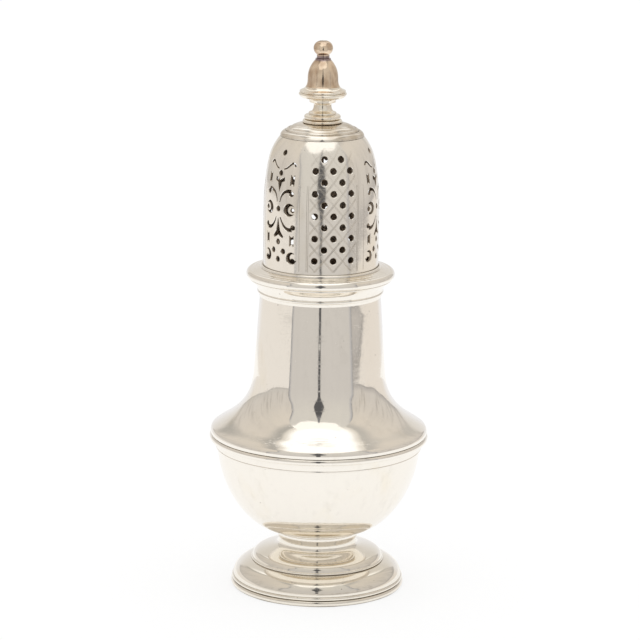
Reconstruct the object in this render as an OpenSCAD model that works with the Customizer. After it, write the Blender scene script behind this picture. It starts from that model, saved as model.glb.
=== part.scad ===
// Sugar caster in polished silver: a pear-shaped body on a domed foot,
// and a pierced pull-off cover with a bell finial.
// Millimetres, +Z up, origin at the middle of the foot on the table.

/* [Sheet and joints] */
// Thickness of the raised silver sheet
wall = 0.9; // [0.6:0.1:1.4]
// Solder film between pieces that sleeve into each other
solder_gap = 0.05; // [0.02:0.01:0.12]
// Running clearance between the cover's bezel and the mouth
bezel_clearance = 0.1; // [0.05:0.01:0.25]

/* [Foot] */
// Diameter over the lower reed of the foot rim
foot_d = 60.2; // [52:0.2:76]
// Radial width of the rim
foot_rim_w = 2.1; // [1.8:0.1:3]
// Thickness of the lower reed
foot_reed_d = 2.1; // [1.6:0.1:2.6]
// Depth of the flat ground under the lower reed, on which the caster stands
foot_flat = 0.1; // [0.05:0.05:0.3]
// Thickness of the upper reed
foot_bead_d = 1.3; // [1:0.1:1.8]
// How far the upper reed stands back from the lower one
foot_bead_set = 0.3; // [0.1:0.1:0.6]
// How far the lower dome stands in from the edge of the rim
foot_dome_set = 0.8; // [0.6:0.1:1.2]
// Rise of the lower dome above the rim
foot_dome_h = 5.7; // [4:0.1:8]
// Diameter of the step between the two domes
foot_step_d = 46.2; // [42:0.2:50]
// Height of the step
foot_step_h = 0.9; // [0.6:0.1:1.2]
// Rise of the upper dome
foot_top_h = 3.6; // [3:0.1:7]
// Diameter of the upper dome where it turns into the stem
foot_turn_d = 31.6; // [29:0.2:34]
// Outside diameter of the stem
foot_stem_d = 26.6; // [24:0.2:28]
// Height of the hollow of the stem
foot_stem_h = 3; // [2:0.1:4]

/* [Collet] */
// Height of the collet between foot and bowl
collet_h = 3.9; // [3.5:0.1:6]
// Largest diameter of the collet's swelling
collet_d = 28.6; // [28:0.2:30]
// Bore through the collet
collet_bore_d = 19; // [14:0.5:21]
// Thickness of the thin reed under the bowl
collet_reed_d = 1; // [0.7:0.1:1.3]

/* [Bowl] */
// Diameter of the flat base of the bowl
bowl_base_d = 30.6; // [29:0.2:34]
// Outside diameter of the bowl's rim
bowl_d = 70.8; // [60:0.2:84]
// Height of the bowl's curved side
bowl_curve_h = 27.6; // [22:0.1:36]
// How much the bowl's side draws in below its rim
bowl_lean = 0.4; // [0.1:0.1:1]
// Height of the lip between the curved side and the girdle
bowl_lip_h = 0.9; // [0.5:0.1:2.5]
// Thickness of the bowl's floor
bowl_floor_t = 1; // [0.7:0.1:1.6]

/* [Girdle] */
// How far the main rib of the girdle stands out from the bowl
girdle_out = 2.45; // [2.2:0.05:6]
// Thickness of the main rib
girdle_rib_d = 2.2; // [1.6:0.1:2.8]
// Height of the cove below the rib
girdle_cove_h = 2.2; // [1.4:0.1:3]
// Thickness of the thin reed below the cove
girdle_bead_d = 0.85; // [0.6:0.05:1.2]
// How far the thin reed stands out from the bowl
girdle_bead_out = 0.25; // [0.15:0.05:0.4]
// Overlap of the bowl's rim inside the upper body
lap_h = 2.4; // [1.6:0.1:2.8]

/* [Upper body] */
// How far the round edge of the shoulder stands back from the girdle's rib
shoulder_edge_set = 0.35; // [0.2:0.05:0.5]
// Height of the crest of that edge above the girdle
shoulder_edge_h = 0.9; // [0.6:0.1:1.4]
// Radius of that edge
shoulder_edge_r = 2.1; // [1.6:0.1:2.4]
// Turn of that edge from its crest to the shoulder's slope, degrees
shoulder_edge_a = 54; // [48:1:60]
// Height of the shoulder, from the crest of its edge to the straight neck
shoulder_h = 20.9; // [17:0.1:27]
// How far the foot of the neck stands out beyond its top
neck_spread = 1.9; // [0.6:0.1:5]
// Height of the straight neck up to the mouth moulding
neck_h = 26.8; // [18:0.2:40]

/* [Mouth moulding] */
// Height of the fillet at the bottom of the moulding
mouth_fillet_h = 1; // [0.7:0.1:1.5]
// How far the fillet stands out from the neck
mouth_fillet_out = 0.2; // [0.1:0.05:0.5]
// Thickness of the reed above the fillet
mouth_reed_d = 1.4; // [1:0.1:2]
// How far the reed stands out from the neck
mouth_reed_out = 0.95; // [0.7:0.05:1.3]
// Height of the cove above the reed
mouth_cove_h = 3.2; // [2.2:0.1:5]
// How far the lip at the seat of the cover stands out from the neck
mouth_lip_out = 2.75; // [1.6:0.05:4.5]

/* [Cover rim] */
// Outside diameter of the cover's wall and bezel
cover_d = 39.5; // [36:0.1:44]
// How far the edge of the cover rim stands out over the lip of the mouth
cover_rim_out = 1.95; // [0.4:0.05:4]
// Thickness of the rounded edge of the rim
cover_edge_d = 3.2; // [2.6:0.1:3.6]
// Thickness of the reed under the edge
cover_reed_d = 0.9; // [0.6:0.1:1.2]
// How far that reed stands back from the edge
cover_reed_set = 1; // [0.4:0.1:1.4]
// Height of the rim's edge above its seat
cover_rim_h = 3.7; // [3.2:0.1:5]
// Rise of the rim's top from its edge to the dome
cover_rim_rise = 0.9; // [0.2:0.1:1.2]
// Thickness of the bead at the foot of the dome
cover_bead_d = 1.2; // [0.9:0.1:1.6]

/* [Bezel] */
// Depth of the bezel below the seat
bezel_depth = 12.5; // [6:0.5:20]
// Thickness of the bezel
bezel_wall = 0.8; // [0.5:0.1:1.2]
// Height of the seam between bezel and dome above the seat
bezel_seam_h = 2.5; // [1.5:0.1:2.8]
// Length of straight bearing in the mouth below the bezel's end
bearing_over = 0.8; // [0.4:0.1:2]
// Length of the taper below that bearing
bearing_run = 3.5; // [2:0.5:6]

/* [Pierced dome] */
// Height of the straight wall above the seam
dome_straight_h = 23; // [18:0.5:28]
// Radius of the slow curve above the straight wall
dome_swell_r = 80; // [60:5:120]
// Lean of the wall at the end of the slow curve, degrees
dome_swell_a = 11.6; // [9:0.1:14]
// Radius of the quick curve below the crown
dome_turn_r = 18.5; // [15:0.5:22]
// Lean of the wall at the crown, degrees
dome_turn_a = 39.7; // [35:0.1:44]

/* [Piercing] */
// Turn of the cover: its first lattice panel, degrees right of the front
cover_turn = 12.4; // [-30:0.2:30]
// Number of lattice panels, with a foliate panel between each two
panel_pairs = 3; // [2:1:3]
// Diameter of a sprinkle hole
hole_d = 2.25; // [1.6:0.05:2.6]
// Rows of sprinkle holes in a lattice panel
lattice_rows = 10; // [4:1:10]
// Distance between rows
lattice_pitch = 3.8; // [3.4:0.1:4]
// Turn between two holes of a row, degrees
lattice_step_a = 18.8; // [16:0.2:20]
// Height of the lowest row above the cover's seat
lattice_start_h = 10; // [9:0.2:14]
// Height of the middle of the foliate panel above the cover's seat
foliate_mid_h = 27.2; // [26:0.2:32]
// Scale of the foliate drawing, millimetres to one of its units
foliate_unit = 1; // [0.8:0.02:1.1]
// Radius of the round dots in the foliate panel
dot_r = 0.95; // [0.7:0.05:1.1]
// Width of the upright bars in the foliate panel
bar_w = 1.6; // [1.2:0.1:1.9]
// Height of the upright bars
bar_h = 3.6; // [3:0.1:4]
// Radius of the notches in the ends of the bars
notch_r = 0.55; // [0.3:0.05:0.7]

/* [Crown] */
// How far the crown's edge stands out over the dome
crown_out = 0.05; // [0:0.05:0.4]
// Width of the crown's broad lower band
crown_band_w = 1.7; // [1.2:0.1:2.4]
// Height of the broad band
crown_band_h = 1.9; // [1.4:0.1:2.6]
// Width of the narrow band above it
crown_reed_w = 1.2; // [0.8:0.1:1.8]
// Height of the narrow band
crown_reed_h = 0.8; // [0.5:0.1:1.2]
// Depth of the grooves between the bands
crown_groove = 0.2; // [0.05:0.05:0.25]
// Rise of the crown above its bands
crown_rise = 1.7; // [1.2:0.1:2.6]
// Diameter of the flat where the finial sits
crown_flat_d = 13.8; // [13.7:0.1:16]
// Thickness of the crown
crown_t = 1.1; // [0.9:0.1:1.4]
// Depth of the ring that locates the crown in the dome
crown_spigot_h = 1.2; // [0.8:0.1:2]
// Clearance of that ring in the dome
crown_spigot_gap = 0.1; // [0.05:0.05:0.3]

/* [Finial] */
// Diameter of the lowest bead of the reel
reel_d = 13.5; // [12:0.1:13.7]
// Thickness of that bead
reel_bead_d = 1.2; // [0.9:0.1:1.6]
// Thickness of the bold middle bead
reel_middle_d = 1.7; // [1.3:0.1:2.2]
// How far the middle bead stands back from the lowest
reel_middle_set = 0.5; // [0.3:0.05:0.9]
// Thickness of the upper bead
reel_ring_d = 0.9; // [0.7:0.1:1.2]
// How far the upper bead stands back from the middle one
reel_ring_set = 1.5; // [0.8:0.1:1.6]
// Diameter of the waist between reel and saucer
waist_d = 6; // [5:0.1:6.6]
// Height of the hollow of the reel, up to the waist
reel_hollow_h = 2.4; // [1.8:0.1:3.5]
// Height of the stem under the saucer
saucer_stem_h = 0.9; // [0.6:0.1:1.6]
// Diameter of the small step under the saucer
saucer_step_d = 9; // [8:0.2:10]
// Height of that step
saucer_step_h = 1.2; // [0.8:0.1:1.6]
// Height of the saucer's underside
saucer_under_h = 1.1; // [0.8:0.1:1.8]
// Diameter over the saucer's rim
saucer_d = 16.3; // [15.4:0.1:19]
// Thickness of the reed on the rim
saucer_reed_d = 1; // [0.8:0.1:1.3]
// Thickness of the bead above that reed
saucer_bead_d = 0.8; // [0.6:0.1:1]
// How far that bead stands back from the reed
saucer_bead_set = 0.3; // [0.2:0.05:0.5]
// Rise of the saucer's top from its rim to the bell
saucer_rise = 1.2; // [0.8:0.1:2]
// Diameter of the bell at its foot
bell_base_d = 11.6; // [11.2:0.1:13]
// Diameter of the bell's side
bell_d = 10.4; // [9.4:0.1:11]
// Height of the flare at the foot of the bell
bell_flare_h = 2.6; // [1.8:0.1:4]
// Height of the bell's rounded body
bell_body_h = 6.6; // [5:0.1:9]
// Diameter of the thin ring on top of the bell
bell_ring_d = 5.2; // [4.8:0.1:6]
// Height of that ring
bell_ring_h = 0.4; // [0.3:0.05:0.8]
// Diameter of the neck under the ball
ball_neck_d = 4.3; // [3.8:0.1:4.6]
// Height of the neck under the ball
ball_neck_h = 0.9; // [0.8:0.1:2]
// Diameter of the ball
ball_d = 6.6; // [5.8:0.1:8]
// Height of the ball
ball_h = 5; // [4.6:0.1:5.6]
// Diameter of the tang that holds the finial
tang_d = 2.4; // [1.8:0.1:2.8]
// Length of the tang inside the ball
tang_in_ball = 2; // [1:0.1:2.6]
// Clearance of the tang in the finial's pieces
tang_gap = 0.05; // [0.03:0.01:0.15]
// Diameter of the riveted head of the tang
tang_head_d = 4.6; // [3.8:0.1:5.4]
// Height of the riveted head
tang_head_h = 0.8; // [0.5:0.1:1.2]
// Diameter of the washer under the crown
washer_d = 8.4; // [6.6:0.2:9.6]
// Thickness of the washer
washer_t = 0.8; // [0.5:0.1:1.2]

/* [Hidden] */
$fn = 96;

// Colours of the polished silver and of the warmer finial
silver = [0.87, 0.84, 0.78];
warm_silver = [0.74, 0.63, 0.50];

// Foot
foot_r = foot_d / 2;
rim_top_z = foot_reed_d + foot_bead_d - foot_flat;
step_r = foot_step_d / 2;
step_z = rim_top_z + foot_dome_h;
top_z = step_z + foot_step_h;
turn_z = top_z + foot_top_h;
stem_r = foot_stem_d / 2;
stem_z = turn_z + foot_stem_h;

// Collet and bowl
bowl_z = stem_z + collet_h;
bowl_r = bowl_d / 2;
bowl_side_z = bowl_z + bowl_curve_h;
girdle_z = bowl_side_z + bowl_lip_h;

// Girdle: heights of its members, and the lap of the two body halves inside it
girdle_r = bowl_r + girdle_out;
cove_z = girdle_z + girdle_bead_d;
rib_z = cove_z + girdle_cove_h;
girdle_top_z = rib_z + girdle_rib_d;
lap_z = rib_z + girdle_rib_d / 4;
bowl_top_z = lap_z + lap_h;
body_skirt_r = bowl_r + solder_gap + wall;

// Upper body and mouth
cover_r = cover_d / 2;
mouth_bore_r = cover_r + bezel_clearance;
neck_top_r = mouth_bore_r + wall;
neck_base_r = neck_top_r + neck_spread;
edge_z = girdle_top_z + shoulder_edge_h;
neck_z = edge_z + shoulder_h;
mouth_z = neck_z + neck_h;
mouth_reed_z = mouth_z + mouth_fillet_h;
mouth_cove_z = mouth_reed_z + mouth_reed_d;
seat_z = mouth_cove_z + mouth_cove_h;
mouth_lip_r = neck_top_r + mouth_lip_out;

// Cover
bezel_z = seat_z - bezel_depth;
bearing_z = bezel_z - bearing_over;
seam_z = seat_z + bezel_seam_h;
swell_z = seam_z + dome_straight_h;
swell_centre = [cover_r - dome_swell_r, swell_z];
turn_centre = swell_centre + (dome_swell_r - dome_turn_r) * [cos(dome_swell_a), sin(dome_swell_a)];
crown_z = turn_centre.y + dome_turn_r * sin(dome_turn_a);
dome_top_r = turn_centre.x + dome_turn_r * cos(dome_turn_a);
dome_mouth_r = turn_centre.x + sqrt(pow(dome_turn_r - wall, 2) - pow(crown_z - turn_centre.y, 2));

// Crown
crown_r = dome_top_r + crown_out;
crown_reed_z = crown_z + crown_band_h;
crown_slope_z = crown_reed_z + crown_reed_h;
crown_slope_r = crown_r - crown_band_w - crown_reed_w;
crown_top_z = crown_slope_z + crown_rise;
crown_flat_r = crown_flat_d / 2;
spigot_r = dome_mouth_r - crown_spigot_gap;

// Finial
tang_hole_r = tang_d / 2 + tang_gap;
reel_middle_z = crown_top_z + reel_bead_d;
reel_ring_z = reel_middle_z + reel_middle_d;
reel_hollow_z = reel_ring_z + reel_ring_d;
waist_r = waist_d / 2;
waist_z = reel_hollow_z + reel_hollow_h;
saucer_step_z = waist_z + saucer_stem_h;
saucer_under_z = saucer_step_z + saucer_step_h;
saucer_rim_z = saucer_under_z + saucer_under_h;
saucer_bead_z = saucer_rim_z + saucer_reed_d;
saucer_slope_z = saucer_bead_z + saucer_bead_d;
saucer_top_z = saucer_slope_z + saucer_rise;
bell_side_z = saucer_top_z + bell_flare_h;
bell_ring_z = bell_side_z + bell_body_h;
bell_top_z = bell_ring_z + bell_ring_h;
ball_z = bell_top_z + ball_neck_h;
top_of_all = ball_z + ball_h;
ceiling_z = crown_top_z - crown_t;
washer_z = ceiling_z - washer_t;

// How far a cut runs past the face that it opens
cut_over = 1;

// Piercing: cuts start well inside the wall and end outside it
cut_from_r = cover_r / 2;
cut_to_r = cover_r + cut_over;

// Points of a cubic curve with two handles
function bezier(a, b, c, d, steps = 20) =
    [for (i = [0:steps])
        let (t = i / steps, u = 1 - t)
        u * u * u * a + 3 * u * u * t * b + 3 * u * t * t * c + t * t * t * d];

// Points of an arc, angles in degrees
function arc(centre, r, from, to, steps) =
    [for (i = [0:steps])
        let (a = from + (to - from) * i / steps)
        centre + r * [cos(a), sin(a)]];

// Curve that leaves a upright and reaches b level
function rise_then_level(a, b, k = 0.58) =
    bezier(a, [a.x, a.y + k * (b.y - a.y)], [b.x + k * (a.x - b.x), b.y], b);

// Curve that leaves a level and reaches b upright
function level_then_rise(a, b, k = 0.58) =
    bezier(a, [a.x + k * (b.x - a.x), a.y], [b.x, b.y - k * (b.y - a.y)], b);

function reversed(path) = [for (i = [len(path) - 1:-1:0]) path[i]];

// The same path without its first point, and without both ends
function after_first(path) = [for (i = [1:len(path) - 1]) path[i]];
function between_ends(path) = [for (i = [1:len(path) - 2]) path[i]];

function heading(path, i) =
    let (v = path[min(i + 1, len(path) - 1)] - path[max(i - 1, 0)])
    v / norm(v);

// The same path moved to its left by t: the inside of an outline drawn upwards
function moved_in(path, t) =
    [for (i = [0:len(path) - 1])
        let (d = heading(path, i))
        path[i] + t * [-d.y, d.x]];

// Outline of a curved stroke that widens from half width a to half width b
function stroke(spine, a, b) =
    let (n = len(spine) - 1)
    concat([for (i = [0:n]) moved_in(spine, a + (b - a) * i / n)[i]],
           [for (i = [n:-1:0]) moved_in(spine, -a - (b - a) * i / n)[i]]);

// A reed in section: a round wire whose crest is at radius r and whose foot is at height z
module reed(r, z, d) {
    translate([r - d / 2, z + d / 2]) circle(d = d);
}

// A rectangle in section, between two radii and two heights
module band(r0, r1, z0, z1) {
    translate([r0, z0]) square([r1 - r0, z1 - z0]);
}

module turned(tint) {
    color(tint) rotate_extrude() children();
}

// Foot rim: two reeds on a ring, flat below and above
module foot_rim() {
    turned(silver) difference() {
        union() {
            reed(foot_r, -foot_flat, foot_reed_d);
            reed(foot_r - foot_bead_set, foot_reed_d - foot_flat, foot_bead_d);
            band(0, foot_r - foot_reed_d / 2, 0, rim_top_z);
        }
        band(0, foot_r - foot_rim_w, -foot_d, rim_top_z + foot_d);
        band(0, foot_d, -foot_d, 0);
    }
}

// Foot: bold lower dome, step, upper dome with a broad top, and stem, raised from one sheet
module foot_dome() {
    turn = [foot_turn_d / 2, turn_z];
    upper_r = step_r - foot_step_h / 2;
    foot = [foot_r - foot_dome_set, rim_top_z];
    lower = bezier(foot, foot + [0, 0.61 * foot_dome_h],
                   [step_r + 0.36 * (foot.x - step_r), step_z - 0.06 * foot_dome_h], [step_r, step_z]);
    bead = arc([upper_r, step_z + foot_step_h / 2], foot_step_h / 2, -60, 60, 8);
    upper = bezier([upper_r, top_z], [upper_r - 0.08 * (upper_r - turn.x), top_z + 0.63 * foot_top_h],
                   turn + [0.62 * (upper_r - turn.x), -0.33 * foot_top_h], turn);
    stem = bezier(turn, turn + [0.95 * (stem_r - turn.x), 0.22 * foot_stem_h],
                  [stem_r, stem_z - 0.45 * foot_stem_h], [stem_r, stem_z], 12);
    outside = concat(lower, bead, upper, after_first(stem));
    inside = concat([foot - [wall, 0]], after_first(moved_in(lower, wall)), moved_in(upper, wall),
                    between_ends(moved_in(stem, wall)), [[stem_r - wall, stem_z]]);
    turned(silver) polygon(concat(outside, reversed(inside)));
}

// Collet: a swelling ring that carries the bowl on the stem
module foot_collet() {
    foot = [stem_r, stem_z];
    crest = [collet_d / 2, bowl_z - collet_reed_d];
    turned(silver) difference() {
        union() {
            polygon(concat([[0, stem_z]], level_then_rise(foot, crest, 0.32), [[0, crest.y]]));
            band(0, bowl_base_d / 2 - collet_reed_d / 2, crest.y, bowl_z);
            reed(bowl_base_d / 2, crest.y, collet_reed_d);
        }
        band(0, collet_bore_d / 2, stem_z - cut_over, bowl_z + cut_over);
    }
}

// Bowl: flat base, full curved side and an upright rim that laps inside the upper body
module bowl() {
    base = [bowl_base_d / 2, bowl_z];
    side_top = [bowl_r - bowl_lean, bowl_side_z];
    side = bezier(base, base + [0.43 * (side_top.x - base.x), 0.01 * bowl_curve_h],
                  side_top - [3.3 * bowl_lean, 0.53 * bowl_curve_h], side_top, 32);
    inner = moved_in(side, wall);
    outside = concat([[0, bowl_z]], side, [[bowl_r, girdle_z], [bowl_r, bowl_top_z]]);
    inside = concat([[0, bowl_z + bowl_floor_t], [base.x, bowl_z + bowl_floor_t]],
                    [for (p = inner) if (p.x > base.x && p.y > bowl_z + bowl_floor_t) p],
                    [[bowl_r - wall, girdle_z], [bowl_r - wall, bowl_top_z]]);
    turned(silver) polygon(concat(outside, reversed(inside)));
}

// Girdle: rib, cove and thin reed, drawn as one wire over the lap
module girdle() {
    bead_r = bowl_r + girdle_bead_out;
    rib_back_r = girdle_r - girdle_rib_d / 2;
    turned(silver) difference() {
        union() {
            reed(bead_r, girdle_z, girdle_bead_d);
            reed(girdle_r, rib_z, girdle_rib_d);
            band(0, bowl_r + girdle_bead_out / 2, girdle_z + girdle_bead_d / 2, rib_z);
            band(0, rib_back_r, rib_z, girdle_top_z);
            polygon(concat([[0, cove_z - girdle_bead_d / 4]],
                           rise_then_level([bead_r - girdle_bead_d / 4, cove_z - girdle_bead_d / 4],
                                           [rib_back_r, rib_z + girdle_rib_d / 8]),
                           [[0, rib_z + girdle_rib_d / 8]]));
        }
        band(0, bowl_r + solder_gap, girdle_z - cut_over, lap_z);
        band(0, body_skirt_r + solder_gap, lap_z - solder_gap, girdle_top_z + cut_over);
    }
}

// Upper body: skirt inside the girdle, round edge on top of it, sweeping shoulder and straight tapering neck
module upper_body() {
    edge_centre = [girdle_r - shoulder_edge_set - shoulder_edge_r, edge_z];
    edge = arc(edge_centre, shoulder_edge_r, -asin(shoulder_edge_h / shoulder_edge_r), shoulder_edge_a, 16);
    slope_foot = edge[len(edge) - 1];
    slope = [-sin(shoulder_edge_a), cos(shoulder_edge_a)];
    neck_foot = [neck_base_r, neck_z];
    neck_top = [neck_top_r, mouth_z];
    taper = (neck_top - neck_foot) / norm(neck_top - neck_foot);
    shoulder = bezier(slope_foot, slope_foot + 0.27 * shoulder_h * slope,
                      neck_foot - 0.606 * shoulder_h * taper, neck_foot, 32);
    run_z = bearing_z - bearing_run;
    run_r = neck_foot.x + (neck_top.x - neck_foot.x) * (run_z - neck_z) / neck_h - wall;
    inner = moved_in(shoulder, wall);
    outside = concat([[body_skirt_r, lap_z], [body_skirt_r, girdle_top_z]], edge, after_first(shoulder),
                     [neck_top, [neck_top_r, seat_z]]);
    inside = concat([[body_skirt_r - wall, lap_z], [body_skirt_r - wall, slope_foot.y]],
                    [for (p = inner) if (p.x < body_skirt_r - wall && p.y > slope_foot.y) p],
                    [[run_r, run_z], [mouth_bore_r, bearing_z], [mouth_bore_r, seat_z]]);
    turned(silver) polygon(concat(outside, reversed(inside)));
}

// Mouth moulding: fillet, reed and cove round the top of the neck; its top is the cover's seat
module mouth_rim() {
    cove_foot = [neck_top_r + mouth_reed_out - mouth_reed_d / 8, mouth_cove_z - mouth_reed_d / 8];
    lip = [mouth_lip_r, seat_z];
    cove = bezier(cove_foot, cove_foot + [0, 0.4 * mouth_cove_h],
                  lip - [0.4 * (lip.x - cove_foot.x), 0.3 * mouth_cove_h], lip);
    turned(silver) difference() {
        union() {
            band(0, neck_top_r + mouth_fillet_out, mouth_z, mouth_cove_z);
            reed(neck_top_r + mouth_reed_out, mouth_reed_z, mouth_reed_d);
            polygon(concat([[0, cove_foot.y]], cove, [[0, seat_z]]));
        }
        band(0, neck_top_r + solder_gap, mouth_z - cut_over, seat_z + cut_over);
    }
}

// Cover rim: rounded edge over a thin reed, flat top and a bead at the foot of the dome
module cover_rim() {
    rim_r = mouth_lip_r + cover_rim_out;
    rim_top = seat_z + cover_rim_h;
    turned(silver) difference() {
        union() {
            reed(rim_r - cover_reed_set, seat_z, cover_reed_d);
            reed(rim_r, rim_top - cover_edge_d, cover_edge_d);
            polygon([[0, seat_z], [rim_r - cover_edge_d / 2, seat_z], [rim_r - cover_edge_d / 2, rim_top],
                     [cover_r, rim_top + cover_rim_rise], [0, rim_top + cover_rim_rise]]);
            reed(cover_r + 0.8 * cover_bead_d, rim_top + cover_rim_rise - cover_bead_d / 2, cover_bead_d);
        }
        band(0, cover_r + solder_gap, seat_z - cut_over, rim_top + cover_rim_rise + cover_bead_d);
        band(0, rim_r, seat_z - rim_r, seat_z);
    }
}

// Bezel: the sleeve that holds the cover in the mouth
module cover_bezel() {
    turned(silver) band(cover_r - bezel_wall, cover_r, bezel_z, seam_z);
}

// The dome's wall before it is pierced
module dome_shell() {
    outside = concat([[cover_r, seam_z]],
                     arc(swell_centre, dome_swell_r, 0, dome_swell_a, 6),
                     after_first(arc(turn_centre, dome_turn_r, dome_swell_a, dome_turn_a, 8)));
    inner_turn_a = asin((crown_z - turn_centre.y) / (dome_turn_r - wall));
    inner_turn = arc(turn_centre, dome_turn_r - wall, dome_swell_a, inner_turn_a, 8);
    inside = concat([[cover_r - wall, seam_z]],
                    arc(swell_centre, dome_swell_r - wall, 0, dome_swell_a, 6),
                    after_first(inner_turn));
    rotate_extrude() polygon(concat(outside, reversed(inside)));
}

// One lattice panel: rows of three and two sprinkle holes in turn
module lattice_holes() {
    for (row = [0:lattice_rows - 1]) {
        count = row % 2 == 0 ? 3 : 2;
        for (k = [0:count - 1])
            rotate([0, 0, (k - (count - 1) / 2) * lattice_step_a])
                translate([cut_from_r, 0, seat_z + lattice_start_h + row * lattice_pitch])
                    rotate([0, 90, 0])
                        cylinder(d = hole_d, h = cut_to_r - cut_from_r);
    }
}

// An upright bar with a notch in each end
module notched_bar(at) {
    translate(at) difference() {
        square([bar_w, bar_h], center = true);
        for (side = [-1, 1]) translate([0, side * bar_h / 2]) circle(r = notch_r);
    }
}

// A crescent: a disc of radius r with a smaller disc bitten out of its right side
module crescent(at, r, bite_at, bite_r) {
    difference() {
        translate(at) circle(r = r);
        translate(bite_at) circle(r = bite_r);
    }
}

// What lies right of the foliate panel's middle line
module foliate_side() {
    // slender scroll at the top
    polygon(stroke(bezier([1.2, 13], [3.8, 13.4], [4.4, 17], [6, 14.3], 8), 0.2, 0.4));
    // upper leaf with its lobe
    polygon(stroke(bezier([0.7, 1.9], [0.9, 4.6], [2.6, 6.3], [5.2, 5.8], 8), 0.15, 0.65));
    translate([5.4, 5]) circle(r = 0.85);
    // crescent and bud at mid height
    crescent([4.8, -0.4], 2.15, [5.75, -0.4], 1.45);
    translate([6, -0.45]) circle(r = 0.8);
    // lower leaf with its lobe
    polygon(stroke(bezier([1.1, -3.2], [1.6, -5.2], [3.4, -7.8], [5.8, -7.1], 8), 0.15, 0.65));
    translate([6.2, -6.3]) circle(r = 0.85);
    // corner scroll
    crescent([5.7, -16.8], 1.95, [6.5, -16.5], 1.3);
    translate([6.15, -17.85]) circle(r = dot_r);
    notched_bar([5.3, 9.6]);
    notched_bar([5.8, -10.9]);
    translate([2.35, -14.8]) circle(r = dot_r);
}

// What lies on the middle line: two tulips and a row of dots
module foliate_middle() {
    polygon([[0, 5.3], [0.7, 7.5], [0.95, 8.5], [2.2, 9.1], [2.1, 10.4], [0.9, 9.9],
             [0, 9.3], [-0.9, 9.9], [-2.1, 10.4], [-2.2, 9.1], [-0.95, 8.5], [-0.7, 7.5]]);
    polygon([[0, -3.1], [-0.55, -6], [-1, -8], [-2.4, -9.7], [-1.9, -10.4], [0, -9.3],
             [1.9, -10.4], [2.4, -9.7], [1, -8], [0.55, -6]]);
    for (y = [18.3, 11.6, -0.4, -11.7, -17.7]) translate([0, y]) circle(r = dot_r);
}

// One foliate panel, sawn straight through the wall
module foliate_holes() {
    translate([cut_from_r, 0, seat_z + foliate_mid_h])
        rotate([90, 0, 90])
            linear_extrude(height = cut_to_r - cut_from_r)
                scale(foliate_unit) {
                    foliate_middle();
                    foliate_side();
                    mirror([1, 0]) foliate_side();
                }
}

// Pierced dome: lattice and foliate panels in turn round the wall
module pierced_dome() {
    pair_a = 360 / panel_pairs;
    color(silver) difference() {
        dome_shell();
        for (i = [0:panel_pairs - 1]) {
            rotate([0, 0, cover_turn - 90 + i * pair_a]) lattice_holes();
            rotate([0, 0, cover_turn - 90 + (i + 0.5) * pair_a]) foliate_holes();
        }
    }
}

// Crown: a broad and a narrow band and a low cap, with a ring below that locates it in the dome
module cover_crown() {
    band_top = [crown_r - crown_band_w, crown_reed_z];
    reed_top = [crown_slope_r, crown_slope_z];
    groove = [-crown_groove, -crown_groove];
    edge = [crown_r, crown_z];
    outside = concat(
        [[0, crown_z], [crown_r - crown_groove, crown_z]],
        rise_then_level(edge + [0, crown_groove], band_top, 0.42),
        bezier(band_top + groove, band_top + groove + [0, 0.6 * crown_reed_h],
               reed_top + [0.5 * crown_reed_w, 0], reed_top, 8),
        bezier(reed_top + groove, reed_top + [-0.2 * (crown_slope_r - crown_flat_r), 0.45 * crown_rise],
               [crown_flat_r + 0.45 * (crown_slope_r - crown_flat_r), crown_top_z - 0.15 * crown_rise],
               [crown_flat_r, crown_top_z], 10),
        [[0, crown_top_z]]);
    hollow_r = spigot_r - crown_t;
    hollow_z = crown_z - crown_spigot_h - cut_over;
    turned(silver) difference() {
        union() {
            polygon(outside);
            band(0, spigot_r, crown_z - crown_spigot_h, crown_z + crown_spigot_h / 2);
        }
        polygon([[0, hollow_z], [hollow_r, hollow_z], [hollow_r, crown_reed_z - crown_t],
                 [crown_flat_r, ceiling_z], [0, ceiling_z]]);
        band(0, tang_hole_r, ceiling_z - cut_over, crown_top_z + cut_over);
    }
}

// Reel: three beads and a hollow neck
module finial_reel() {
    bead_r = reel_d / 2;
    middle_r = bead_r - reel_middle_set;
    ring_r = middle_r - reel_ring_set;
    hollow_foot = [ring_r - reel_ring_d / 2, reel_hollow_z];
    turned(silver) difference() {
        union() {
            reed(bead_r, crown_top_z, reel_bead_d);
            reed(middle_r, reel_middle_z, reel_middle_d);
            reed(ring_r, reel_ring_z, reel_ring_d);
            band(0, bead_r - reel_bead_d / 2, crown_top_z, reel_middle_z);
            band(0, middle_r - reel_middle_d / 2, reel_middle_z, reel_ring_z);
            band(0, hollow_foot.x, reel_ring_z, reel_hollow_z);
            polygon(concat([[0, reel_hollow_z]],
                           bezier(hollow_foot, [waist_r + 0.4 * (hollow_foot.x - waist_r), reel_hollow_z],
                                  [waist_r, waist_z - 0.55 * reel_hollow_h], [waist_r, waist_z], 14),
                           [[0, waist_z]]));
        }
        band(0, tang_hole_r, crown_top_z - cut_over, waist_z + cut_over);
    }
}

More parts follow.
